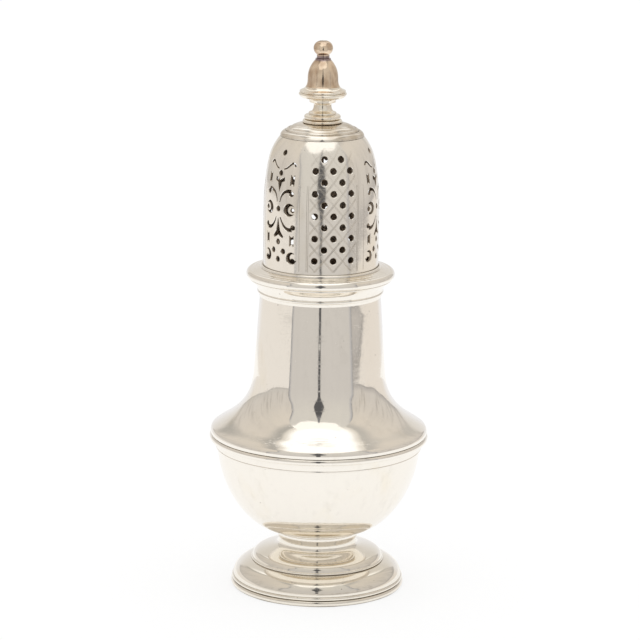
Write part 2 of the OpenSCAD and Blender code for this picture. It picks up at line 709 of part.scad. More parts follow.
// Saucer: short stem, step, round underside, reeded rim and a top that rises to the bell
module finial_saucer() {
    step_edge_r = saucer_step_d / 2;
    rim_r = saucer_d / 2;
    seat = [bell_base_d / 2, saucer_top_z];
    slope_foot = [rim_r - saucer_bead_set - saucer_bead_d / 2, saucer_slope_z];
    turned(silver) difference() {
        union() {
            polygon(concat([[0, waist_z]],
                           rise_then_level([waist_r, waist_z], [step_edge_r, saucer_step_z]),
                           [[step_edge_r, saucer_step_z + saucer_step_h / 2]],
                           level_then_rise([step_edge_r + saucer_step_h / 4, saucer_under_z],
                                           [rim_r - saucer_reed_d / 4, saucer_rim_z + saucer_reed_d / 4]),
                           [[0, saucer_rim_z + saucer_reed_d / 4]]));
            reed(rim_r, saucer_rim_z, saucer_reed_d);
            reed(rim_r - saucer_bead_set, saucer_bead_z, saucer_bead_d);
            band(0, rim_r - saucer_reed_d / 2, saucer_rim_z, saucer_bead_z);
            band(0, slope_foot.x, saucer_bead_z, saucer_slope_z);
            polygon(concat([[0, saucer_slope_z]],
                           bezier(slope_foot, slope_foot + [-0.6 * saucer_rise, 0.25 * saucer_rise],
                                  seat + [0.25 * saucer_rise, -0.5 * saucer_rise], seat, 10),
                           [[0, saucer_top_z]]));
        }
        band(0, tang_hole_r, waist_z - cut_over, saucer_top_z + cut_over);
    }
}

// Bell: flared foot, rounded body and a thin ring on top
module finial_bell() {
    side_r = bell_d / 2;
    ring_r = bell_ring_d / 2;
    flare = bezier([bell_base_d / 2, saucer_top_z],
                   [side_r + 0.45 * (bell_base_d / 2 - side_r), saucer_top_z + 0.15 * bell_flare_h],
                   [side_r, bell_side_z - 0.5 * bell_flare_h], [side_r, bell_side_z], 14);
    body = bezier([side_r, bell_side_z], [side_r, bell_side_z + 0.4 * bell_body_h],
                  [ring_r + 0.7 * (side_r - ring_r), bell_ring_z - 0.3 * bell_body_h],
                  [ring_r, bell_ring_z], 16);
    turned(warm_silver) difference() {
        polygon(concat([[0, saucer_top_z]], flare, after_first(body),
                       [[ring_r, bell_top_z], [0, bell_top_z]]));
        band(0, tang_hole_r, saucer_top_z - cut_over, bell_top_z + cut_over);
    }
}

// Ball: a flattened ball on a short neck, with a blind hole for the tang
module finial_ball() {
    tube_r = ball_h / 2;
    centre_r = ball_d / 2 - tube_r;
    middle_z = ball_z + tube_r;
    turned(warm_silver) difference() {
        union() {
            intersection() {
                translate([centre_r, middle_z]) circle(r = tube_r);
                band(0, ball_d, ball_z, top_of_all);
            }
            band(0, centre_r, ball_z, top_of_all);
            band(0, ball_neck_d / 2, bell_top_z, middle_z);
        }
        band(0, tang_hole_r, bell_top_z - cut_over, ball_z + tang_in_ball + tang_gap);
    }
}

// Tang: the rod through the finial, riveted over the washer inside the crown
module finial_tang() {
    turned(silver) {
        band(0, tang_head_d / 2, washer_z - tang_head_h, washer_z);
        band(0, tang_d / 2, washer_z, ball_z + tang_in_ball);
    }
}

module tang_washer() {
    turned(silver) band(tang_hole_r, washer_d / 2, washer_z, ceiling_z);
}

foot_rim();
foot_dome();
foot_collet();
bowl();
girdle();
upper_body();
mouth_rim();
cover_rim();
cover_bezel();
pierced_dome();
cover_crown();
finial_reel();
finial_saucer();
finial_bell();
finial_ball();
finial_tang();
tang_washer();
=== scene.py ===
"""Looks of the silver sugar caster: turned shells, pierced and engraved cover, polish and studio."""
import math

import bpy
from mathutils import Matrix, Vector


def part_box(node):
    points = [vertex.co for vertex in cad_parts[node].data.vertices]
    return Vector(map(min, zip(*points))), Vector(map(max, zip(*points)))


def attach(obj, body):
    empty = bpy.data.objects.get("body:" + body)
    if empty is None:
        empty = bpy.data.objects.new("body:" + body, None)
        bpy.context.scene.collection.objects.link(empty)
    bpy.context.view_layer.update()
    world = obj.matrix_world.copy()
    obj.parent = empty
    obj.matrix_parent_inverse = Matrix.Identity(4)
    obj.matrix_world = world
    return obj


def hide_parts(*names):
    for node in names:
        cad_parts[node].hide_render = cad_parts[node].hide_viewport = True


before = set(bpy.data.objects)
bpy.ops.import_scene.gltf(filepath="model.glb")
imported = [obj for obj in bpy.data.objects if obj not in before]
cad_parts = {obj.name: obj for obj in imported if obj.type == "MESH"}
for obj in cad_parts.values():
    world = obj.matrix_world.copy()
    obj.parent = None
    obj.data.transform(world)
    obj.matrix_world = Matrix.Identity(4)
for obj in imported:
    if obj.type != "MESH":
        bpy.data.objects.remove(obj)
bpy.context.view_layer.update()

MM = 0.001
MERGE = 0.0005 * MM

# Turned pieces: where the outline is cut, how its corners are eased, and how the turned skin is shaded
OUTLINE_ANGLE = math.radians(0.1)
OUTLINE_MERGE = 0.02 * MM
CORNER_TURN = math.radians(35)
CORNER_EASE = 0.07 * MM
CORNER_SEGMENTS = 3
SMOOTH_ANGLE = math.radians(32)
FACE_WEIGHT = 50
TURN_STEPS = 320
SMALL_TURN_STEPS = 160

# Inside of the body: how far its floor reaches, and how a face has to look to count as inside
BOWL_FLOOR_R = 21 * MM
LOOKS_UP = 0.5
LOOKS_IN = -0.1

# Fine turned lines: their half width and depth, and the radii that they run at
SCORE_HALF = 0.2 * MM
SCORE_DEPTH = 0.13 * MM
CROWN_SCORES = (9.7 * MM, 11.3 * MM)
COVER_RIM_SCORES = (22.1 * MM, 23.6 * MM)

# Pierced dome: a straight wall, a slow swell and a quicker turn up to the crown
WALL = 0.9 * MM
COVER_R = 19.75 * MM
STRAIGHT_H = 23 * MM
SWELL_R = 80 * MM
SWELL_A = math.radians(11.6)
TURN_R = 18.5 * MM
TURN_A = math.radians(39.7)
DOME_STEPS = 256
DOME_ARC_STEPS = 12
INSIDE_DEPTH = 0.3 * MM

# Panels round the dome, as angles from +X, and the saw's cuts in them
PANEL_PAIRS = 3
COVER_TURN = math.radians(12.4 - 90)
PAIR_ANGLE = 2 * math.pi / PANEL_PAIRS
FOLIATE_HALF = math.radians(24)
LATTICE_STEP = math.radians(9.4)
LATTICE_COLUMNS = 5
LATTICE_ROWS = 10
LATTICE_PITCH = 3.8 * MM
LATTICE_START_H = 7.5 * MM
EDGE_EASE = 0.14 * MM
CUT_REACH = 2.5 * MM
PIERCED_MARGIN = 1.5 * MM
SAW_SLANT = 0.03

# Engraving: lines worn to WORN_LINE of their width at the top of the dome
LINE_R = 0.11 * MM
WORN_LINE = 0.35
LINE_GAP = 0.55 * MM
LINE_POINTS = 14
TRELLIS_MARGIN = math.radians(1.2)
SPARE_BARS = 3
BORDER_ANGLES = (math.radians(25.2), math.radians(26.8))
BORDER_TOP_H = 33 * MM
FOLIATE_BORDER = math.radians(25.8)

# Camera of the photograph
CAMERA_PLACE = Vector((0, -1.0, 0.3216))
CAMERA_AIM = Vector((0, 0, 0.0938))
CAMERA_LENS = 167.7
CAMERA_SENSOR = 36
CAMERA_ROLL = math.radians(0.70)

# Studio: floor, front sheet, side wall, and the point on the shoulder that lifts are measured from
FLOOR_SIZE = 12
FRONT_R = 0.16
FRONT_H = 0.6
TENT_R = 0.42
TENT_H = 1.7
WALL_SIDES = 96
SHOULDER_Z = 65 * MM
SHOULDER_R = 30 * MM
DEGREE = 180 / math.pi


# Modelling helpers

def pick(obj):
    """Makes obj the only selected object and the active one."""
    bpy.ops.object.select_all(action="DESELECT")
    obj.select_set(True)
    bpy.context.view_layer.objects.active = obj


def begin_edit(obj):
    """Opens obj in edit mode with all of it selected."""
    pick(obj)
    bpy.ops.object.mode_set(mode="EDIT")
    bpy.ops.mesh.select_mode(type="VERT")
    bpy.ops.mesh.select_all(action="SELECT")


def end_edit():
    """Goes back to object mode."""
    bpy.ops.object.mode_set(mode="OBJECT")


def choose(obj, part, wanted):
    """Selects, in edit mode, the vertices or polygons of obj for which wanted(item) is true."""
    kind = {"vertices": "VERT", "polygons": "FACE"}[part]
    bpy.ops.mesh.select_mode(type=kind)
    bpy.ops.mesh.select_all(action="DESELECT")
    bpy.ops.object.mode_set(mode="OBJECT")
    for item in getattr(obj.data, part):
        item.select = wanted(item)
    bpy.ops.object.mode_set(mode="EDIT")


def copy_node(node, name):
    """A new object with a merged copy of a CAD node's mesh, in edit mode and selected all over."""
    piece = bpy.data.objects.new(name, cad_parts[node].data.copy())
    piece.data.materials.clear()
    bpy.context.scene.collection.objects.link(piece)
    pick(piece)
    bpy.ops.mesh.customdata_custom_splitnormals_clear()
    begin_edit(piece)
    bpy.ops.mesh.remove_doubles(threshold=MERGE)
    return piece


def apply_modifier(piece, kind, **settings):
    """Adds a modifier with these settings to the piece and applies it."""
    modifier = piece.modifiers.new(kind.lower(), kind)
    for key, value in settings.items():
        setattr(modifier, key, value)
    pick(piece)
    bpy.ops.object.modifier_apply(modifier=modifier.name)


def dress(piece, body, node, material):
    """Gives a finished piece its material and its body, and hides the CAD node that it stands for."""
    piece.data.materials.clear()
    piece.data.materials.append(material)
    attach(piece, body)
    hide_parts(node)


def dull_inside(piece, is_inside):
    """Gives the faces for which is_inside(face) is true the finish of silver that is never polished."""
    piece.data.materials.append(inside)
    begin_edit(piece)
    choose(piece, "polygons", is_inside)
    piece.active_material_index = 1
    bpy.ops.object.material_slot_assign()
    end_edit()


# Turned pieces

def corner_turn(mesh):
    """How far the outline turns at each of its points, in radians."""
    ends = {}
    for edge in mesh.edges:
        a, b = edge.vertices
        ends.setdefault(a, []).append(b)
        ends.setdefault(b, []).append(a)
    turns = {}
    for point, others in ends.items():
        if len(others) == 2:
            here = mesh.vertices[point].co
            arms = [mesh.vertices[k].co - here for k in others]
            turns[point] = math.pi - arms[0].angle(arms[1])
    return turns


def half_outline(node, name):
    """The outline of one half of a turned CAD node as a wire, in edit mode."""
    piece = copy_node(node, name)
    across = (-math.sin(OUTLINE_ANGLE), math.cos(OUTLINE_ANGLE), 0)
    outwards = (math.cos(OUTLINE_ANGLE), math.sin(OUTLINE_ANGLE), 0)
    bpy.ops.mesh.bisect(plane_co=(0, 0, 0), plane_no=across, clear_inner=True, clear_outer=True)
    bpy.ops.mesh.select_all(action="SELECT")
    bpy.ops.mesh.bisect(plane_co=(0, 0, 0), plane_no=outwards, clear_inner=True)
    bpy.ops.mesh.select_all(action="SELECT")
    bpy.ops.mesh.remove_doubles(threshold=OUTLINE_MERGE)
    return piece


def score_line(piece, r):
    """Presses a fine turned line into the upper side of a wire outline at radius r."""
    for x in (r - SCORE_HALF, r, r + SCORE_HALF):
        bpy.ops.mesh.select_all(action="SELECT")
        bpy.ops.mesh.bisect(plane_co=(x, 0, 0), plane_no=(1, 0, 0))
    end_edit()
    crossings = [point for point in piece.data.vertices if abs(point.co.x - r) < MERGE]
    highest = max(crossings, key=lambda point: point.co.z).index
    bpy.ops.object.mode_set(mode="EDIT")
    choose(piece, "vertices", lambda point: point.index == highest)
    bpy.ops.transform.translate(value=(0, 0, -SCORE_DEPTH))


def ease_corners(piece):
    """Rounds the sharp corners of a wire outline a little, as polishing does."""
    end_edit()
    turns = corner_turn(piece.data)
    bpy.ops.object.mode_set(mode="EDIT")
    choose(piece, "vertices", lambda point: turns.get(point.index, 0) > CORNER_TURN)
    bpy.ops.mesh.bevel(offset_type="OFFSET", offset=CORNER_EASE, segments=CORNER_SEGMENTS,
                       affect="VERTICES")


def turn_outline(piece, steps):
    """Turns the wire outline once round the caster's axis and closes the skin."""
    end_edit()
    apply_modifier(piece, "SCREW", angle=2 * math.pi, steps=steps, render_steps=steps, axis="Z",
                   use_merge_vertices=True, merge_threshold=MERGE)
    begin_edit(piece)
    bpy.ops.mesh.remove_doubles(threshold=MERGE)
    bpy.ops.mesh.normals_make_consistent(inside=False)
    end_edit()


def shade(piece):
    """Smooth shading that keeps broad faces true between their eased corners."""
    pick(piece)
    bpy.ops.object.shade_smooth_by_angle(angle=SMOOTH_ANGLE)
    apply_modifier(piece, "WEIGHTED_NORMAL", mode="FACE_AREA", keep_sharp=True, weight=FACE_WEIGHT)


def turned_piece(node, body, material, steps=TURN_STEPS, scores=()):
    """A turned twin of one CAD node, with fine lines at the radii in scores."""
    piece = half_outline(node, node + "_turned")
    for r in scores:
        score_line(piece, r)
    ease_corners(piece)
    turn_outline(piece, steps)
    shade(piece)
    dress(piece, body, node, material)
    return piece


# Shader recipes

class Wire:
    """A shader socket that does sums: each operator adds one Math node."""

    def __init__(self, recipe, socket):
        self.recipe = recipe
        self.socket = socket

    def math(self, operation, *values):
        """Adds one Math node with these values or links."""
        sockets = {index: value for index, value in enumerate(values)}
        return self.recipe.add("ShaderNodeMath", {"operation": operation}, sockets)

    def __add__(self, other):
        return self.math("ADD", self, other)

    def __radd__(self, other):
        return self.math("ADD", other, self)

    def __sub__(self, other):
        return self.math("SUBTRACT", self, other)

    def __rsub__(self, other):
        return self.math("SUBTRACT", other, self)

    def __mul__(self, other):
        return self.math("MULTIPLY", self, other)

    def __rmul__(self, other):
        return self.math("MULTIPLY", other, self)

    def __truediv__(self, other):
        return self.math("DIVIDE", self, other)

    def __neg__(self):
        return self.math("MULTIPLY", self, -1)

    def __abs__(self):
        return self.math("ABSOLUTE", self)

    def largest(self, other):
        """The larger of the two values."""
        return self.math("MAXIMUM", self, other)

    def step(self, low, high):
        """Rises smoothly from 0 at low to 1 at high, and falls where low is above high."""
        settings = {"interpolation_type": "SMOOTHSTEP", "clamp": True}
        start, end = (0, 1) if low < high else (1, 0)
        sockets = {"Value": self, "From Min": min(low, high), "From Max": max(low, high),
                   "To Min": start, "To Max": end}
        return self.recipe.add("ShaderNodeMapRange", settings, sockets)

    def within(self, low, high, soft):
        """1 between low and high, 0 outside, with soft edges."""
        return self.step(low - soft, low + soft) * self.step(high + soft, high - soft)


class Recipe:
    """The node tree of one material or of the world."""

    def __init__(self, owner):
        owner.use_nodes = True
        self.tree = owner.node_tree
        self.tree.nodes.clear()

    def add(self, kind, settings=None, sockets=None, output=0):
        """Adds a node: its settings are set first, then the values or links of its sockets."""
        node = self.tree.nodes.new(kind)
        for key, value in (settings or {}).items():
            setattr(node, key, value)
        for key, value in (sockets or {}).items():
            if isinstance(value, Wire):
                self.tree.links.new(value.socket, node.inputs[key])
            else:
                node.inputs[key].default_value = value
        return Wire(self, node.outputs[output]) if len(node.outputs) else None

    def mix(self, factor, low, high):
        """A colour between low and high."""
        return self.add("ShaderNodeMix", {"data_type": "RGBA", "clamp_factor": True},
                        {"Factor": factor, 6: low, 7: high}, output=2)

    def place(self):
        """Object coordinates in metres."""
        return self.add("ShaderNodeTexCoord", output="Object")

    def along(self, axis):
        """The object coordinate along X, Y or Z."""
        return self.add("ShaderNodeSeparateXYZ", {}, {0: self.place()}, output=axis)

    def noise(self, scale, detail=2.0, stretch=(1, 1, 1), turn=(0, 0, 0)):
        """Noise of that scale, in features per metre, centred on 0.5."""
        spot = self.add("ShaderNodeMapping", {},
                        {"Vector": self.place(), "Rotation": turn, "Scale": stretch})
        return self.add("ShaderNodeTexNoise", {"noise_dimensions": "3D"},
                        {"Vector": spot, "Scale": scale, "Detail": detail})

    def finish(self, shader, kind="ShaderNodeOutputMaterial"):
        """Links the shader to the tree's output."""
        self.add(kind, {}, {"Surface": shader})


def rgb(red, green, blue):
    """A solid colour."""
    return (red, green, blue, 1)


# Studio colours

FLOOR_COLOUR = rgb(0.92, 0.92, 0.92)
FLOOR_GLOW = rgb(1.06, 1.06, 1.06)
FLOOR_GLOW_SHARE = 0.7
ROOF_WHITE = rgb(1.25, 1.25, 1.25)
LEFT_CLOTH = rgb(0.85, 0.82, 0.79)
RIGHT_CLOTH = rgb(0.82, 0.775, 0.73)
BACK_LOW = rgb(0.89, 0.89, 0.91)
BACK_HIGH = rgb(0.73, 0.70, 0.66)
SHEET_LOW = rgb(0.66, 0.63, 0.60)
SHEET_HIGH = rgb(0.735, 0.685, 0.62)
SHEET_FOLD = rgb(0.58, 0.55, 0.52)
SHEET_CREASE = rgb(0.47, 0.44, 0.41)
CREAM_CLOTH = rgb(0.82, 0.78, 0.72)
FRONT_LOW = rgb(0.64, 0.62, 0.605)
FRONT_HIGH = rgb(0.70, 0.68, 0.645)
FRONT_FOLD = rgb(0.56, 0.545, 0.53)
FRONT_BROW = rgb(1.14, 1.12, 1.085)
SLIT_DARK = rgb(0.105, 0.105, 0.11)
SLIT_DIM = rgb(0.24, 0.24, 0.25)
BEAD_WHITE = rgb(0.95, 0.93, 0.90)


# Finishes

SILVER = rgb(0.94, 0.895, 0.82)
YELLOWED_SILVER = rgb(0.91, 0.83, 0.68)
FOOT_SILVER = rgb(0.885, 0.835, 0.745)
BAND_STAIN = rgb(0.60, 0.52, 0.41)
WARM_SILVER = rgb(0.88, 0.72, 0.55)
PINK_SILVER = rgb(0.55, 0.40, 0.28)
COLLAR_STAIN = rgb(0.27, 0.205, 0.225)
REEL_SILVER = rgb(0.95, 0.89, 0.78)
REEL_STAIN = rgb(0.84, 0.72, 0.57)
FILM = rgb(0.74, 0.69, 0.62)
TARNISH = rgb(0.16, 0.12, 0.085)
SOOT = rgb(0.36, 0.29, 0.22)
SOOTY_SILVER = rgb(0.60, 0.51, 0.41)

# Purple stain round the neck under the finial's ball
COLLAR_BELOW = 0.7 * MM
COLLAR_ABOVE = 0.9 * MM
COLLAR_SOFT = 0.3 * MM
COLLAR_SHARE = 0.85

# Marks on the metal, in features per metre
HAMMER_SCALE = 48
RIPPLE_SCALE = 230
SMEAR_SCALE = 220
FILM_SCALE = 420
PIT_SCALE = 1300
SCRATCH_SCALE = 60
SCRATCH_STRETCH = (1, 45, 45)
SCRATCH_TURNS = ((0.3, 0.2, 0.9), (1.1, 0.5, -0.4), (0.6, 1.3, 2.0))
INSIDE_CLOUD_SCALE = 160
INSIDE_GRAIN_SCALE = 1500

# What the marks do: their height in millimetres, the roughness that they add, their share of the colour
HAMMER_HEIGHT = 0.055
RIPPLE_HEIGHT = 0.011
SCRATCH_DEPTH = 0.002
PIT_DEPTH = 0.01
SMEAR_ROUGH = 0.05
SCRATCH_ROUGH = 0.12
FILM_ROUGH = 0.015
DIRT_ROUGH = 0.3
FILM_SHARE = 0.2
PIT_SHARE = 0.7
CREASE_REACH = 0.9 * MM


def hairlines(recipe):
    """Fine scratches in three directions, 1 on a scratch."""
    total = 0
    for turn in SCRATCH_TURNS:
        lines = recipe.noise(SCRATCH_SCALE, 1.0, stretch=SCRATCH_STRETCH, turn=turn)
        total = total + lines.step(0.62, 0.74)
    return total


def polished_metal(name, clean, stained, stain, gloss, wave=1.0, grime=0.85, cloud_scale=70, collar=None):
    """Hand-polished silver: hammered, burnished, scratched by use, with tarnish left in the creases.

    The stain sets in between the two noise levels in stain. A collar is a stained band between two heights.
    """
    material = bpy.data.materials.new(name)
    recipe = Recipe(material)
    cloud = recipe.noise(cloud_scale, 3.0, stretch=(1, 1, 0.7))
    smear = recipe.noise(SMEAR_SCALE, 3.0, stretch=(1, 1, 0.4)).step(0.45, 0.8)
    scratches = hairlines(recipe)
    film = recipe.noise(FILM_SCALE, 4.0, stretch=(1, 1, 0.5)).step(0.48, 0.72)
    pits = recipe.noise(PIT_SCALE, 0.0).step(0.875, 0.90)
    crease = recipe.add("ShaderNodeAmbientOcclusion", {"samples": 8, "only_local": False},
                        {"Distance": CREASE_REACH}, output=1)
    dirt = crease.step(0.80, 0.40) * (0.55 + 0.45 * cloud.step(0.35, 0.6))

    colour = recipe.mix(cloud.step(*stain), clean, stained)
    colour = recipe.mix(film * cloud.step(0.35, 0.65) * FILM_SHARE, colour, FILM)
    if collar:
        in_collar = recipe.along("Z").within(*collar, COLLAR_SOFT)
        colour = recipe.mix(in_collar * COLLAR_SHARE, colour, COLLAR_STAIN)
    colour = recipe.mix((dirt * grime).largest(pits * PIT_SHARE), colour, TARNISH)

    rough = gloss + smear * SMEAR_ROUGH + scratches * SCRATCH_ROUGH + film * FILM_ROUGH + dirt * DIRT_ROUGH
    hammered = recipe.noise(HAMMER_SCALE, 1.0) * HAMMER_HEIGHT * wave
    rippled = recipe.noise(RIPPLE_SCALE, 1.0, stretch=(1, 1, 1.6)) * RIPPLE_HEIGHT * wave
    height = hammered + rippled - scratches * SCRATCH_DEPTH - pits * PIT_DEPTH
    bump = recipe.add("ShaderNodeBump", {}, {"Strength": 1.0, "Distance": MM, "Height": height})
    shader = recipe.add("ShaderNodeBsdfPrincipled", {}, {
        "Base Color": colour, "Metallic": 1.0, "Roughness": rough, "Normal": bump})
    recipe.finish(shader)
    return material


def tarnished_inside(name):
    """Silver that no polishing cloth reaches: dull and darkened in clouds."""
    material = bpy.data.materials.new(name)
    recipe = Recipe(material)
    cloud = recipe.noise(INSIDE_CLOUD_SCALE, 4.0)
    grain = recipe.noise(INSIDE_GRAIN_SCALE, 2.0)
    colour = recipe.mix(cloud.step(0.35, 0.7), SOOT, SOOTY_SILVER)
    bump = recipe.add("ShaderNodeBump", {}, {"Strength": 0.4, "Distance": 0.1 * MM, "Height": grain})
    shader = recipe.add("ShaderNodeBsdfPrincipled", {}, {
        "Base Color": colour, "Metallic": 0.7, "Roughness": 0.45 + 0.2 * grain, "Normal": bump})
    recipe.finish(shader)
    return material


ball_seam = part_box("finial_ball")[0].z
polished = polished_metal("polished_silver", SILVER, YELLOWED_SILVER, stain=(0.55, 0.95), gloss=0.045)
footed = polished_metal("foot_silver", FOOT_SILVER, YELLOWED_SILVER, stain=(0.55, 0.95), gloss=0.05)
banded = polished_metal("banded_silver", SILVER, BAND_STAIN, stain=(0.30, 0.65), gloss=0.06,
                        grime=0.95, cloud_scale=110)
worked = polished_metal("worked_silver", SILVER, YELLOWED_SILVER, stain=(0.50, 0.90), gloss=0.11,
                        wave=3.0, grime=0.6)
reeded = polished_metal("reeded_silver", REEL_SILVER, REEL_STAIN, stain=(0.42, 0.68), gloss=0.06,
                        grime=0.12, cloud_scale=190)
warm = polished_metal("warm_silver", WARM_SILVER, PINK_SILVER, stain=(0.42, 0.64), gloss=0.06,
                      cloud_scale=170, collar=(ball_seam - COLLAR_BELOW, ball_seam + COLLAR_ABOVE))
inside = tarnished_inside("tarnished_inside")


# Body and cover, turned

def looks_inwards(face):
    """True for a face that looks at the caster's axis, or up from the bowl's floor."""
    level = Vector((face.center.x, face.center.y, 0))
    on_floor = level.length < BOWL_FLOOR_R and face.normal.z > LOOKS_UP
    return on_floor or face.normal.dot(level.normalized()) < LOOKS_IN


for node in ("foot_rim", "foot_dome"):
    turned_piece(node, "caster_body", footed)
for node in ("foot_collet", "girdle", "mouth_rim"):
    turned_piece(node, "caster_body", polished)
for node in ("bowl", "upper_body"):
    dull_inside(turned_piece(node, "caster_body", polished), looks_inwards)
dull_inside(turned_piece("cover_bezel", "cover", polished), looks_inwards)
turned_piece("cover_rim", "cover", polished, scores=COVER_RIM_SCORES)
turned_piece("cover_crown", "cover", banded, scores=CROWN_SCORES)
for node in ("finial_reel", "finial_saucer", "finial_tang", "tang_washer"):
    turned_piece(node, "cover", reeded, SMALL_TURN_STEPS)
for node in ("finial_bell", "finial_ball"):
    turned_piece(node, "cover", warm, SMALL_TURN_STEPS)


# Pierced dome

dome_low, dome_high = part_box("pierced_dome")
SEAM_Z = dome_low.z
SWELL_Z = SEAM_Z + STRAIGHT_H
SWELL_X = COVER_R - SWELL_R
TURN_X = SWELL_X + (SWELL_R - TURN_R) * math.cos(SWELL_A)
TURN_Z = SWELL_Z + (SWELL_R - TURN_R) * math.sin(SWELL_A)
CROWN_Z = TURN_Z + TURN_R * math.sin(TURN_A)
INNER_TURN_A = math.asin((CROWN_Z - TURN_Z) / (TURN_R - WALL))


def dome_radius(z):
    """Outside radius of the dome at height z."""
    if z <= SWELL_Z:
        return COVER_R
    if z <= SWELL_Z + SWELL_R * math.sin(SWELL_A):
        return SWELL_X + math.sqrt(SWELL_R ** 2 - (z - SWELL_Z) ** 2)
    return TURN_X + math.sqrt(TURN_R ** 2 - (z - TURN_Z) ** 2)


def dome_depth(point):
    """How far a point lies inside the dome's outer face, measured level."""
    return dome_radius(point.z) - math.hypot(point.x, point.y)


def draw_line(x, z):
    """Extrudes the end point of a wire outline by x, z in the XZ plane."""
    bpy.ops.mesh.extrude_region_move(TRANSFORM_OT_translate={"value": (x, 0, z)})


def draw_arc(centre_x, centre_z, angle):
    """Spins the end point of a wire outline in the XZ plane, upwards where the angle is positive."""
    bpy.ops.mesh.spin(steps=DOME_ARC_STEPS, angle=abs(angle), center=(centre_x, 0, centre_z),
                      axis=(0, 1 if angle > 0 else -1, 0))


def dome_outline():
    """The dome's wall in section, drawn up its outside and down its inside."""
    bpy.ops.object.select_all(action="DESELECT")
    bpy.ops.mesh.primitive_plane_add(size=2 * MM, location=(0, 0, 0))
    outline = bpy.context.object
    outline.name = "pierced_dome_wall"
    begin_edit(outline)
    bpy.ops.mesh.merge(type="CENTER")
    bpy.ops.transform.translate(value=(COVER_R - WALL, 0, SEAM_Z))
    draw_line(WALL, 0)
    draw_line(0, STRAIGHT_H)
    draw_arc(SWELL_X, SWELL_Z, SWELL_A)
    draw_arc(TURN_X, TURN_Z, TURN_A - SWELL_A)
    draw_line((TURN_R - WALL) * math.cos(INNER_TURN_A) - TURN_R * math.cos(TURN_A), 0)
    draw_arc(TURN_X, TURN_Z, SWELL_A - INNER_TURN_A)
    draw_arc(SWELL_X, SWELL_Z, -SWELL_A)
    draw_line(0, -STRAIGHT_H)
    bpy.ops.mesh.select_all(action="SELECT")
    bpy.ops.mesh.remove_doubles(threshold=MERGE)
    return outline


def saw_axes():
    """The saw's directions round the dome, each with the half angle that its cuts take up."""
    axes = []
    for pair in range(PANEL_PAIRS):
        lattice = COVER_TURN + pair * PAIR_ANGLE
        axes.append((lattice + PAIR_ANGLE / 2, FOLIATE_HALF))
        for column in range(LATTICE_COLUMNS):
            axes.append((lattice + (column - (LATTICE_COLUMNS - 1) / 2) * LATTICE_STEP, LATTICE_STEP / 2))
    return [(Vector((math.cos(angle), math.sin(angle), 0)), math.cos(half)) for angle, half in axes]


def saw_cutter():
    """What the saw takes out of the dome: the walls of its holes with eased rims, closed at both ends."""
    cutter = copy_node("pierced_dome", "saw_cut")
    axes = saw_axes()

    def hole_wall(face):
        """True for a face along the saw's way through the dome."""
        middle = face.center
        if not dome_low.z + PIERCED_MARGIN < middle.z < dome_high.z - PIERCED_MARGIN:
            return False
        outwards = Vector((middle.x, middle.y, 0)).normalized()
        return any(outwards.dot(axis) > reach and abs(face.normal.dot(axis)) < SAW_SLANT
                   for axis, reach in axes)

    def grow(factor):
        """Scales the chosen rims about the caster's axis."""
        bpy.ops.transform.resize(value=(factor, factor, 1), center_override=(0, 0, 0))

    def choose_rims(outside):
        """Chooses the open edges of the hole walls on the outer or inner face of the dome."""
        bpy.ops.mesh.select_mode(type="EDGE")
        bpy.ops.mesh.select_all(action="DESELECT")
        bpy.ops.mesh.select_non_manifold(use_wire=False, use_boundary=True, use_multi_face=False,
                                         use_non_contiguous=False, use_verts=False)
        end_edit()
        points = cutter.data.vertices
        for edge in cutter.data.edges:
            if edge.select:
                middle = (points[edge.vertices[0]].co + points[edge.vertices[1]].co) / 2
                edge.select = (dome_depth(middle) < WALL / 2) == outside
        bpy.ops.object.mode_set(mode="EDIT")

    choose(cutter, "polygons", lambda face: not hole_wall(face))
    bpy.ops.mesh.delete(type="FACE")
    bpy.ops.mesh.select_all(action="SELECT")
    bpy.ops.mesh.delete_loose(use_verts=True, use_edges=True, use_faces=False)
    bpy.ops.mesh.select_all(action="SELECT")
    bpy.ops.mesh.flip_normals()
    choose_rims(True)
    grow(1 - EDGE_EASE / COVER_R)
    bpy.ops.mesh.extrude_region_move()
    grow(1 + 2 * EDGE_EASE / COVER_R)
    bpy.ops.transform.shrink_fatten(value=2 * EDGE_EASE)
    bpy.ops.mesh.extrude_region_move()
    grow(1 + CUT_REACH / COVER_R)
    choose_rims(False)
    bpy.ops.mesh.extrude_region_move()
    grow(1 - CUT_REACH / COVER_R)
    bpy.ops.mesh.select_all(action="SELECT")
    bpy.ops.mesh.fill_holes(sides=0)
    bpy.ops.mesh.select_all(action="SELECT")
    bpy.ops.mesh.normals_make_consistent(inside=False)
    end_edit()
    return cutter


def take_away(piece, cutter):
    """Cuts the cutter out of the piece and throws the cutter away."""
    apply_modifier(piece, "BOOLEAN", operation="DIFFERENCE", object=cutter, solver="MANIFOLD")
    bpy.data.objects.remove(cutter)


def engraved_lines(paths):
    """A graver's cuts along paths of (angle, height) on the dome's face, worn finer towards the top."""
    curve = bpy.data.curves.new("graver_cut", "CURVE")
    curve.dimensions = "3D"
    curve.bevel_depth = LINE_R
    curve.bevel_resolution = 0
    curve.use_fill_caps = True
    for path in paths:
        line = curve.splines.new("POLY")
        line.points.add(len(path) - 1)
        for point, (angle, z) in zip(line.points, path):
            r = dome_radius(z)
            point.co = (r * math.cos(angle), r * math.sin(angle), z, 1)
            point.radius = 1 - (1 - WORN_LINE) * (z - SEAM_Z) / (dome_high.z - SEAM_Z)
    cut = bpy.data.objects.new("graver_cut", curve)
    bpy.context.scene.collection.objects.link(cut)
    pick(cut)
    bpy.ops.object.convert(target="MESH")
    begin_edit(cut)
    bpy.ops.mesh.remove_doubles(threshold=MERGE)
    bpy.ops.mesh.normals_make_consistent(inside=False)
    end_edit()
    return cut


